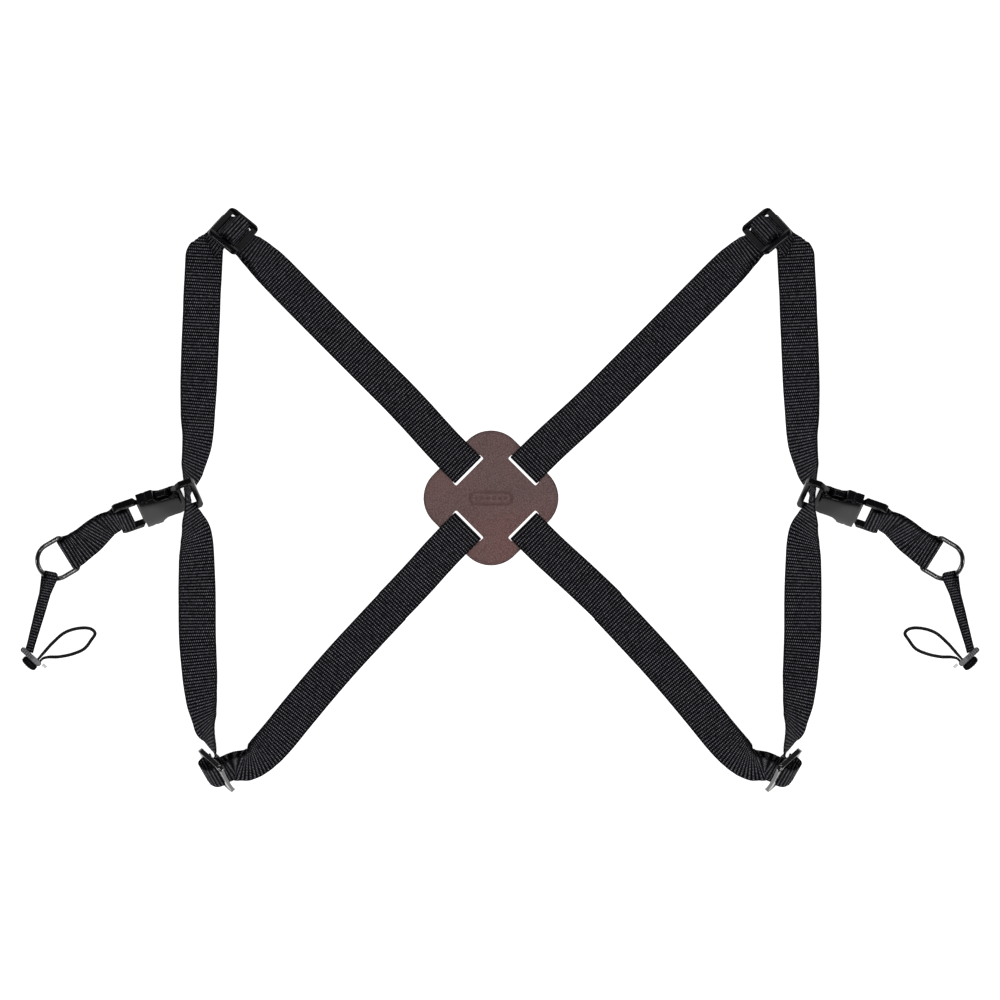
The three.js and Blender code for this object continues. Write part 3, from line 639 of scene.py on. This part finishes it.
def webbing_material(name, pitch=RIB_PITCH, half_width=TAPE_WIDTH / 2, dot=1.35):
    """Ribs with a row of thread loops on each, every other row shifted half a loop, and plain edges;
    painted shade darkens the valleys between ribs and painted highlights brighten some loops.
    """
    painted_valley_shade, ridge, painted_loop_highlight = (0.0001, 0.0001, 0.0002), (0.024, 0.0235, 0.029), (0.52, 0.5, 0.56)
    selvedge, dull = (0.004, 0.004, 0.005), (0.004, 0.004, 0.006)
    m = Material(name, Specular_IOR_Level=0.02)
    s, t = m.weave_place()
    rib = m.wave(s, pitch * MM)
    row = m.math("FLOOR", m.math("MULTIPLY_ADD", s, 1 / (pitch * MM), 0.5))
    shift = m.math("MULTIPLY", row, math.pi)
    turned = m.math("ADD", m.math("MULTIPLY", t, 2 * math.pi / (dot * MM)), shift)
    thread = m.math("MULTIPLY_ADD", m.math("COSINE", turned), 0.5, 0.5)
    loops = m.math("MULTIPLY", m.math("POWER", thread, 3.0), m.math("POWER", rib, 2.0))
    edge = m.math("GREATER_THAN", m.math("ABSOLUTE", t), (half_width - 1.3) * MM)
    fine = m.wave(s, pitch * MM / 2)
    place = m.object_place()
    speckle = m.noise(place, 1500, 3)
    patches = m.noise(place, 35, 3)
    # the colour darkens from each rib's crest into the valley beside it: painted shade in the grooves
    # between ribs
    crest = m.math("POWER", rib, 2.8)
    body = m.mix(crest, painted_valley_shade, ridge)
    # bright bluish dots on a random share of the thread loops: painted highlights, glints on the loops
    # painted into the colour
    glint = m.math("MULTIPLY", loops, m.ramp(speckle, (0.36, BLACK), (0.66, WHITE)))
    lit = m.mix(glint, body, painted_loop_highlight)
    with_edge = m.mix(m.math("MULTIPLY", edge, 0.6), lit, selvedge)
    color = m.mix(m.math("MULTIPLY", patches, 0.2), with_edge, dull)
    height = m.math("ADD", loops, m.math("MULTIPLY", speckle, 0.5))
    height = m.math("ADD", height, m.math("MULTIPLY", m.math("MULTIPLY", edge, fine), 0.8))
    normal = m.bump(height, 0.00022, 0.9)
    rough = m.math("MULTIPLY_ADD", speckle, 0.25, 0.65)
    return m.use(Base_Color=color, Roughness=rough, Normal=normal)


def leather_material():
    """Cloudy red-brown with fine pores, and darker at the plate's edge."""
    dark, light, red = (0.118, 0.0625, 0.059), (0.169, 0.094, 0.09), (0.2, 0.073, 0.064)
    pore, worn_rim = (0.094, 0.05, 0.047), (0.055, 0.025, 0.022)
    m = Material("leather", Specular_IOR_Level=0.4)
    place = m.object_place()
    from_edge, _ = m.weave_place()
    grain = m.put("TexVoronoi", place, Scale=620.0, Randomness=1.0, feature="DISTANCE_TO_EDGE")
    fine = m.noise(place, 2500, 2)
    cloud = m.noise(place, 30, 4, 0.6)
    warm = m.noise(place, 11, 2)
    base = m.mix(m.ramp(cloud, (0.3, BLACK), (0.7, WHITE)), dark, light)
    base = m.mix(m.ramp(warm, (0.4, BLACK), (0.65, (0.6, 0.6, 0.6))), base, red)
    pores = m.ramp(grain, (0.0, BLACK), (0.1, WHITE))
    color = m.mix(pores, pore, base)
    inside = m.math("MULTIPLY", from_edge, 1 / (3 * MM))
    rim = m.ramp(inside, (0.0, WHITE), (0.35, (0.35, 0.35, 0.35)), (1, BLACK))
    color = m.mix(rim, color, worn_rim)
    height = m.math("ADD", m.math("MULTIPLY", pores, 0.6), m.math("MULTIPLY", fine, 0.4))
    height = m.math("ADD", height, m.math("MULTIPLY", cloud, 1.5))
    rough = m.math("MULTIPLY_ADD", cloud, 0.2, 0.36)
    return m.use(Base_Color=color, Roughness=rough, Normal=m.bump(height, 0.0003, 0.7))


def plastic_material(name, color, roughness, grain, depth, wear=0.4, spec=0.5):
    """Fine grain of a given scale and depth, some cloudiness, and lighter scuffs as strong as wear."""
    m = Material(name, Specular_IOR_Level=spec)
    place = m.object_place()
    fine = m.noise(place, grain, 3)
    cloud = m.noise(place, 60, 3)
    scuff = m.noise(m.put("Mapping", place, Scale=(1, 1, 7)), 140, 4)
    lighter = tuple(min(1, c * 1.6 + 0.001) for c in color)
    base = m.mix(m.math("MULTIPLY", cloud, 0.5), color, lighter)
    marks = m.ramp(scuff, (0.62, BLACK), (0.75, (wear, wear, wear)))
    base = m.mix(marks, base, lighter)
    cloudy = m.math("MULTIPLY_ADD", cloud, 0.12, roughness - 0.06)
    rough = m.math("ADD", cloudy, m.math("MULTIPLY", marks, 0.2))
    return m.use(Base_Color=base, Roughness=rough, Normal=m.bump(fine, depth, 0.5))


BRAID_PITCH = 0.0016


def cord_material():
    """Two sets of strands crossing round the cord."""
    m = Material("cord_braid", Specular_IOR_Level=0.1, Roughness=0.75)
    s, t = m.weave_place()
    a = m.math("MULTIPLY", s, 2 * math.pi / BRAID_PITCH)
    b = m.math("MULTIPLY", t, 4 * math.pi)
    one = m.math("SINE", m.math("ADD", a, b))
    two = m.math("SINE", m.math("SUBTRACT", a, b))
    braid = m.math("MULTIPLY_ADD", m.math("MULTIPLY", one, two), 0.5, 0.5)
    color = m.mix(m.math("POWER", braid, 3.0), (0.0015, 0.0015, 0.002), (0.04, 0.037, 0.037))
    return m.use(Base_Color=color, Normal=m.bump(braid, 0.0002, 0.9))


def set_material(obj, material):
    obj.data.materials.clear()
    obj.data.materials.append(material)


WEBBING = webbing_material("webbing")
TAPE = webbing_material("tether_weave", TETHER_RIB_PITCH, TETHER_WIDTH / 2, 1.1)
LEATHER = leather_material()
GLOSS = plastic_material("adjuster_moulding", (0.0012, 0.0012, 0.0022), 0.12, 900, 0.00002, 0.2, 0.06)
# lit copy of the adjuster moulding for the lower adjuster: lighter base colour and strong specular, a
# painted highlight on its outer bar
LIT_ADJUSTER_COPY = plastic_material("adjuster_lit_copy", (0.002, 0.002, 0.0035), 0.1, 900, 0.00002, 0.3, 1.0)
MATTE = plastic_material("buckle_moulding", (0.0015, 0.0015, 0.0024), 0.16, 2200, 0.00003, 0.2, 0.2)
PAINT = plastic_material("ring_coating", (0.0015, 0.0015, 0.002), 0.1, 500, 0.00001, 0.2, 0.9)
KEEPER_GREY = plastic_material("keeper_moulding", (0.06, 0.06, 0.068), 0.28, 1500, 0.00005, 0.4, 0.4)
CORD = cord_material()
THREAD = plastic_material("thread", (0.006, 0.006, 0.007), 0.6, 1600, 0.0002, 0.4, 0.15)
BEAD = plastic_material("tape_end", (0.0015, 0.0015, 0.002), 0.4, 1600, 0.0001, 0.3, 0.05)
# near-white material for the tube at the cord lock's end: a painted highlight standing in for glare
GLARE_WHITE = plastic_material("glare_sleeve", (0.72, 0.73, 0.74), 0.35, 900, 0.00003)


# ---- the harness's pieces -------------------------------------------------------------------------
def node_points(node, mirror):
    """A CAD node's mesh as points in millimetres on the left side's frame, and its faces."""
    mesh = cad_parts[node].data
    points = vertex_points(mesh)
    points[:, 0] *= mirror
    points[:, 1] -= MIDDLE_Y
    faces = [tuple(p.vertices) for p in mesh.polygons]
    return points, faces if mirror > 0 else [tuple(reversed(f)) for f in faces]


PLATE_VOXEL, PLASTIC_VOXEL, KEEPER_VOXEL = 0.4, 0.3, 0.2


def moulded(node, mirror, voxel, rounds, shaping=None):
    """A CAD node's shape, remeshed and smoothed so that its edges are round; shaping adds detail."""
    points, faces = node_points(node, mirror)
    block = add_mesh(node + "_block", points, faces)
    remesh = block.modifiers.new("remesh", "REMESH")
    remesh.mode = "VOXEL"
    remesh.voxel_size = voxel * MM
    fine = bpy.data.meshes.new_from_object(block.evaluated_get(bpy.context.evaluated_depsgraph_get()))
    bpy.data.objects.remove(block)
    p = vertex_points(fine)
    edges = np.empty(len(fine.edges) * 2, int)
    fine.edges.foreach_get("vertices", edges)
    a, b = edges.reshape(-1, 2).T
    count = np.bincount(np.concatenate([a, b]), minlength=len(p))[:, None]
    for _ in range(rounds):
        near = np.zeros_like(p)
        np.add.at(near, a, p[b])
        np.add.at(near, b, p[a])
        p += 0.5 * (near / count - p)
    p[:, 1] -= MIDDLE_Y
    if shaping:
        p = shaping(p)
    faces = [tuple(f.vertices) for f in fine.polygons]
    made = add_mesh(node + "_moulding", p, faces, mirror=mirror)
    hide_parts(node)
    return made


def tube(name, points, radius, sides, closed=False, mirror=1):
    """Round wire, cord or thread along points, with its length and turn as its weave place."""
    p = np.array(points, float)
    ahead, behind = np.roll(p, -1, 0), np.roll(p, 1, 0)
    if not closed:
        ahead[-1], behind[0] = p[-1], p[0]
    along = ahead - behind
    along /= np.linalg.norm(along, axis=1)[:, None]
    side = np.cross(along, vec(0, 0, 1))
    side /= np.linalg.norm(side, axis=1)[:, None]
    up = np.cross(side, along)
    turn = np.arange(sides) * 2 * math.pi / sides
    radii = np.broadcast_to(radius, len(p))[:, None, None]
    ring = side[:, None] * np.cos(turn)[None, :, None] + up[:, None] * np.sin(turn)[None, :, None]
    rings = p[:, None] + ring * radii
    s = np.concatenate([[0], np.cumsum(np.linalg.norm(np.diff(p, axis=0), axis=1))]) * MM
    weave = np.stack(np.broadcast_arrays(s[:, None], turn[None, :] / (2 * math.pi)), axis=-1)
    faces = grid_faces(len(p), sides, closed)
    return add_mesh(name, rings.reshape(-1, 3), faces, weave.reshape(-1, 2), mirror)


def ring_line():
    """Middle of the D-ring's wire: a straight bar, two short sides and a half ellipse."""
    half, corner = RING_RADIUS, 2
    quarter = np.radians(np.linspace(180, 270, 7))
    low_corner = [(corner + corner * math.cos(a), corner - half + corner * math.sin(a)) for a in quarter]
    bow = np.radians(np.linspace(-90, 90, 40))
    round_end = [(RING_STRAIGHT + RING_DEEP * math.cos(a), half * math.sin(a)) for a in bow]
    high_corner = [(x, -y) for x, y in reversed(low_corner)]
    flat = [(0, 0), *low_corner, (6, -half), *round_end, (6, half), *high_corner]
    return [RING_FRAME.at(x, y, 0) for x, y in flat]


def cord_radii(line):
    """The cord at its full size in the loop, pinched where it goes through the cord lock."""
    from_lock = (line - KEEPER_FRAME.origin) @ KEEPER_FRAME.along
    return np.interp(from_lock, (3, 9), (PINCHED_CORD_RADIUS, CORD_RADIUS))


def cord_line():
    return spline(CORD_ROUTE)(np.linspace(0, 1, CORD_POINTS))


def adjuster_shape(f, bowed):
    """Bows an adjuster's middle up and hollows the flanks of its end bars."""

    def shape(p):
        local = f.local(p)
        bow = bowed * (1 - (local[:, 1] / 17.5) ** 2)
        dish = 0.3 * np.clip(np.abs(local[:, 0]) - 8, 0, 4) / 4
        rail = np.clip((np.abs(local[:, 1]) - 13) / 2, 0, 1)
        local[:, 2] *= 1 + 0.45 * rail
        local[:, 2] += bow - dish
        inner = np.clip(1 - np.abs(np.abs(local[:, 1]) - 13.7) / 1.2, 0, 1)
        inner = inner * (local[:, 0] < -2) * (local[:, 0] > -8)
        local[:, 1] -= np.sign(local[:, 1]) * 0.9 * inner
        return f.placed(local)

    return shape


def socket_shape(p):
    """Crowns the socket's two faces, and cuts a groove into its two sides behind the mouth's collar."""
    local = BUCKLE_FRAME.local(p)
    outside = (np.abs(local[:, 2]) > 3.6) * (local[:, 0] > 5)
    groove = np.exp(-(((local[:, 0] - 27.4) / 0.6) ** 2))
    edge = (np.abs(local[:, 1]) / 16.5) ** 4
    local[:, 2] -= np.sign(local[:, 2]) * outside * 0.8 * edge
    side = np.abs(local[:, 1]) > 14.6
    local[:, 1] -= np.sign(local[:, 1]) * side * 0.6 * groove
    return BUCKLE_FRAME.placed(local)


def plug_shape(p):
    """Thickens the plug's two rails outside the mouth."""
    local = BUCKLE_FRAME.local(p)
    rail = np.clip((np.abs(local[:, 1]) - 12.5) / 1.5, 0, 1) * np.clip((local[:, 0] - 33.5) / 1.5, 0, 1)
    local[:, 2] *= 1 + 0.55 * rail
    return BUCKLE_FRAME.placed(local)


def plate_shape(p):
    """Narrows the plate's slots, and presses a plain oval and a row of dots into its top."""
    x, y = p[:, 0] - SLOT_OFFSET, p[:, 1]
    for turn in (45, 135, 225, 315):
        out = vec(math.cos(math.radians(turn)), math.sin(math.radians(turn)))
        u, v = x * out[0] + y * out[1], y * out[0] - x * out[1]
        near = np.clip(1 - np.abs(u - 23.4) / 1.9, 0, 1) * np.clip((15 - np.abs(v)) / 1.5, 0, 1)
        at_end = np.clip(1 - np.abs(np.abs(v) - 13.9) / 1.8, 0, 1)
        at_end = at_end * np.clip(1 - np.abs(u - 26) / 4.5, 0, 1) ** 0.3
        p = p + np.outer(0.9 * near, out) - np.outer(0.9 * np.sign(v) * at_end, vec(-out[1], out[0]))
    x = p[:, 0] - PLATE_OFFSET
    beyond = np.hypot(np.maximum(np.abs(x) - 10, 0), y)
    oval = np.exp(-(((beyond - 4) / 0.55) ** 2))
    dots = np.exp(-((np.hypot((x + 12) % 4 - 2, y) / 0.9) ** 2)) * (np.abs(x) < 10)
    on_top = np.clip((p[:, 2] - PLATE_BOTTOM) / PLATE_THICK, 0, 1) ** 2
    p[:, 2] -= on_top * 0.8 * np.maximum(oval, dots)
    return p


LOBE_AT, LOBE_RADIUS = 23, 22


def distance_from_edge(obj):
    """Weave place of the plate: how far inside its four-lobed outline each point lies."""
    x, y = (vertex_points(obj.data) - vec(PLATE_OFFSET, MIDDLE_Y)).T[:2]
    lobes = [np.hypot(x - LOBE_AT * a, y - LOBE_AT * b) for a, b in ((1, 0), (0, 1), (-1, 0), (0, -1))]
    between_lobes = np.abs(x) + np.abs(y) < LOBE_AT
    inside = np.where(between_lobes, LOBE_RADIUS, LOBE_RADIUS - np.min(lobes, axis=0)) * MM
    set_weave(obj.data, np.stack([inside, inside * 0], 1))


def keeper_shape(p):
    """Presses small grooves across the keeper's two long faces."""
    local = KEEPER_FRAME.local(p)
    plain = np.clip((local[:, 1] + 2) / 1.5, 0, 1)
    groove = 0.5 + 0.5 * np.cos(2 * math.pi * local[:, 1] / 1.6)
    local[:, 2] -= np.sign(local[:, 2]) * 0.22 * groove * plain
    local[:, 0] *= 0.82 - 0.05 * groove * plain
    local[:, 2] *= 0.9
    return KEEPER_FRAME.placed(local)


def bead_mesh(name, mirror):
    """The tape's end, folded over the cord: a soft ribbed lump."""
    rows, sides = 28, 20
    points, places = [], []
    f = KEEPER_FRAME
    origin = f.at(-4, -2.2, -2.1)
    for i in range(rows):
        v = math.pi * (i + 0.5) / rows
        for j in range(sides):
            turn = 2 * math.pi * j / sides
            swell = 1 + 0.05 * math.cos(i * 2 * math.pi / 3)
            x, z = (np.sign(c) * abs(c) ** 0.85 for c in (math.cos(turn), math.sin(turn)))
            wide = math.sin(v) ** 0.55 * swell
            local = vec(2.9 * x * wide, -5.6 * math.cos(v), 2.6 * z * wide)
            points.append(origin + (f.along * local[0] + f.across * local[1] + f.up * local[2]))
            places.append((i * 0.45 * MM, (j - sides / 2) * 0.4 * MM))
    return add_mesh(name, points, grid_faces(rows, sides), places, mirror)


def glare_tube_mesh(name, mirror):
    """Short thin tube with rounded lips, open at both ends, standing in for a glare highlight at the
    cord lock's end.
    """
    sides = 20
    profile = [(-1.7, 1.0), (-1.65, 1.15), (-1.5, 1.2), (1.5, 1.2), (1.65, 1.15), (1.7, 1.0)]
    profile += [(1.6, 0.85), (1.4, 0.8), (-1.4, 0.8), (-1.6, 0.85)]
    origin = KEEPER_FRAME.at(1.2, -10.8, -2.6)
    points = []
    for along, radius in profile:
        for j in range(sides):
            turn = 2 * math.pi * j / sides
            side = KEEPER_FRAME.along * math.cos(turn) + KEEPER_FRAME.up * math.sin(turn)
            points.append(origin + KEEPER_FRAME.across * along + side * radius)
    return add_mesh(name, points, grid_faces(len(profile), sides, closed=True), mirror=mirror)


STITCH_PITCH, THREAD_RADIUS = 3.0, 0.24


def stitch_rows(name, mirror):
    """Two lines of stitches across the tab, through both layers, on its outer side."""
    middle = frames_along(tab_middle(), 1.0)
    one_stitch = ((-1.1, 0.5), (-0.8, 0.8), (0, 0.9), (0.8, 0.8), (1.1, 0.5))
    made = []
    for k in (len(middle) // 4, 3 * len(middle) // 4):
        f = middle[k]
        for t in np.arange(-10.5, 10.6, STITCH_PITCH):
            line = [f.at(0, t + across, -TAB_LAYER - out) for across, out in one_stitch]
            made.append(tube(name + "_one", line, THREAD_RADIUS, 6, mirror=mirror))
    bpy.ops.object.select_all(action="DESELECT")
    for stitch in made:
        stitch.select_set(True)
    bpy.context.view_layer.objects.active = made[0]
    bpy.ops.object.join()
    made[0].name = name
    return made[0]


def ride(obj, body, material):
    """Gives a piece its material and its body."""
    set_material(obj, material)
    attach(obj, body)


plate = moulded("back_plate", 1, PLATE_VOXEL, 2, plate_shape)
distance_from_edge(plate)
ride(plate, "back_plate", LEATHER)

# the lower adjuster takes the lit copy of the moulding, a painted highlight; both adjusters are the same
# part
ADJUSTERS = (("upper", UPPER_ADJUSTER, 0.5, GLOSS), ("lower", LOWER_ADJUSTER, 0.9, LIT_ADJUSTER_COPY))
for side, mirror in SIDES:
    wing, plug = side + "_wing", side + "_plug"
    upper, lower = harness_rows(SLOT_OFFSET * mirror)
    upper_nodes = ("upper_loop", "upper_strap", "upper_sewn_end")
    lower_nodes = ("lower_loop", "side_strap", "lower_strap", "lower_sewn_end")
    for label, rows, nodes in (("upper", upper, upper_nodes), ("lower", lower, lower_nodes)):
        tape = woven(f"{side}_{label}_webbing", rows, TAPE_WIDTH, TAPE_THICK, mirror)
        set_material(tape, WEBBING)
        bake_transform(tape)
        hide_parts(*[f"{side}_{node}" for node in nodes])

    rows = flat_rows(tab_frames(), TAPE_WIDTH)
    tab = woven(side + "_tab_webbing", rows, TAPE_WIDTH, TAPE_THICK, mirror)
    ride(tab, plug, WEBBING)
    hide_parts(side + "_tab")
    ride(stitch_rows(side + "_tab_stitches", mirror), plug, THREAD)

    strap = tether_frames()
    far = np.array([np.linalg.norm(f.origin - HANG_POINT) for f in strap])
    squeeze = 1.14 - 0.44 * np.clip(far / 46, 0, 1)
    tape = woven(
        side + "_tether_webbing", flat_rows(strap, TETHER_WIDTH, squeeze), TETHER_WIDTH, TETHER_THICK,
        mirror, TETHER_RIB_HIGH, TETHER_RIB_PITCH,
    )
    ride(tape, side + "_tether", TAPE)
    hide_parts(side + "_tether_tape")

    line = cord_line()
    cord = tube(side + "_cord", line, cord_radii(line), 12, mirror=mirror)
    ride(cord, side + "_tether", CORD)
    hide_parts(side + "_cord_loop")

    ring = tube(side + "_ring_wire", ring_line(), RING_WIRE, 18, True, mirror)
    ride(ring, side + "_ring", PAINT)
    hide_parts(side + "_d_ring")

    bead = bead_mesh(side + "_tape_end", mirror)
    ride(bead, side + "_tether", BEAD)
    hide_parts(side + "_bead")
    # a white tube at the keeper's end: a painted highlight standing in for glare there
    glare_tube = glare_tube_mesh(side + "_glare_sleeve", mirror)
    ride(glare_tube, side + "_tether", GLARE_WHITE)
    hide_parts(side + "_sleeve")

    keeper = moulded(side + "_keeper", mirror, KEEPER_VOXEL, 4, keeper_shape)
    ride(keeper, side + "_cord_lock", KEEPER_GREY)
    for label, f, bowed, finish_and_lit_copy in ADJUSTERS:
        slider = moulded(f"{side}_{label}_adjuster", mirror, PLASTIC_VOXEL, 12, adjuster_shape(f, bowed))
        ride(slider, wing, finish_and_lit_copy)
    for body, shaping in (("socket", socket_shape), ("plug", plug_shape)):
        half = moulded(f"{side}_buckle_{body}", mirror, PLASTIC_VOXEL, 9, shaping)
        ride(half, f"{side}_{body}", MATTE)
    for label in ("upper", "lower"):
        prong = moulded(f"{side}_{label}_prong", mirror, PLASTIC_VOXEL, 4)
        ride(prong, f"{side}_{label}_prong_arm", MATTE)

# ---- floor and light ------------------------------------------------------------------------------
FLOOR_HALF, FLOOR_Z = 9e3, -0.4
corners = [(x * FLOOR_HALF, y * FLOOR_HALF, FLOOR_Z) for x, y in ((-1, -1), (1, -1), (1, 1), (-1, 1))]
floor = add_mesh("floor", corners, [(0, 1, 2, 3)])
paper = Material(
    "paper", Base_Color=(0.93, 0.93, 0.93, 1), Roughness=0.9,
    Emission_Color=(1, 1, 1, 1), Emission_Strength=0.8,
)
set_material(floor, paper.material)

world = bpy.data.worlds.new("studio")
world.use_nodes = True
background = world.node_tree.nodes["Background"]
background.inputs["Color"].default_value = (1, 1, 1, 1)
background.inputs["Strength"].default_value = 0.12
bpy.context.scene.world = world
bpy.context.scene.view_settings.view_transform = "Standard"


def area_light(name, location, target, size, power):
    """Rectangular lamp that faces its target; in metres and watts."""
    data = bpy.data.lights.new(name, "AREA")
    data.shape = "RECTANGLE"
    data.size, data.size_y = size
    data.energy = power
    light = bpy.data.objects.new(name, data)
    light.location = location
    direction = np.array(target, float) - np.array(location, float)
    light.rotation_euler = Vector(direction).to_track_quat("-Z", "Y").to_euler()
    bpy.context.scene.collection.objects.link(light)


area_light("overhead", (0, 0, 4.3), (0, 0, 0), (1.4, 0.35), 48)
area_light("front", (0, -1, 1.7), (0, 0, 0), (1.8, 0.25), 11)
area_light("back", (0, 1.5, 1.7), (0, 0, 0), (1.6, 0.2), 9)
area_light("low_left", (-1.6, -1.35, 0.35), (0.15, -0.18, 0), (0.5, 0.15), 5)
area_light("low_right", (1.6, -1.35, 0.35), (-0.15, -0.18, 0), (0.5, 0.15), 5)
